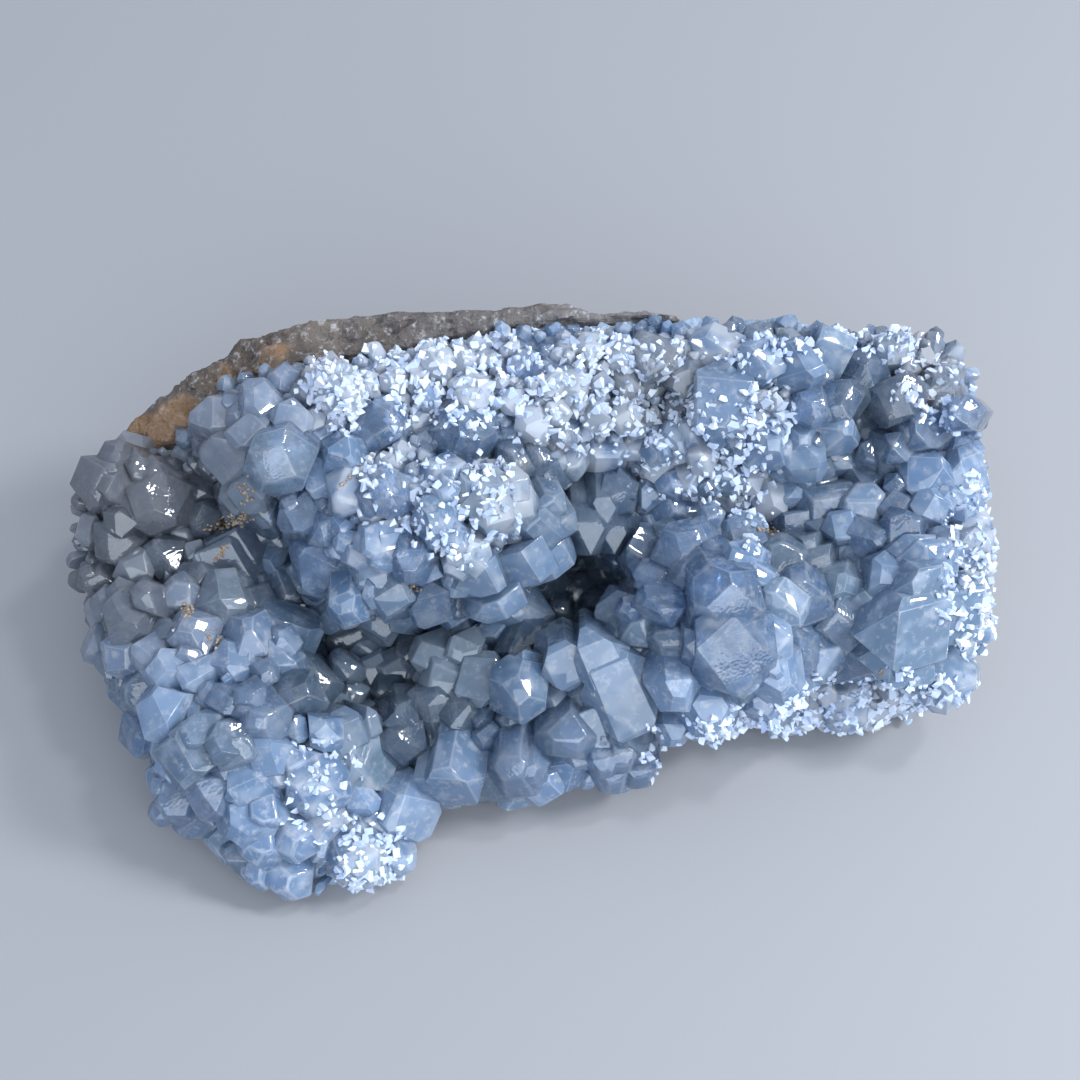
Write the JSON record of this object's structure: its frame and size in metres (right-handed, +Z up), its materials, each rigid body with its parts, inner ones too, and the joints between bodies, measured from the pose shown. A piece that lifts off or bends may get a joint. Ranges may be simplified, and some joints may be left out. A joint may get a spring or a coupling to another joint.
{
  "type": "celestite cluster",
  "caption": "Broken chunk of geode wall: pale blue blocky celestite crystals grown together over a grey-brown rock rind, resting on its flat underside.",
  "frame": {"origin": "middle of the bounding box, on the table under the resting face", "axes": "+X along the long side, to the right for a viewer who faces the crystals; +Y towards the rind at the back; +Z up"},
  "size_m": [0.1239, 0.0725, 0.0423],
  "materials": {
    "grey_brown_rock": "rough, pitted, dull grey-brown host rock with rusty patches",
    "pale_blue_celestite": "glassy, see-through to milky pale blue, with sugary white patches"
  },
  "bodies": {
    "root": {"rock_rind": "grey_brown_rock", "celestite_crystals": "pale_blue_celestite"}
  },
  "joints": []
}
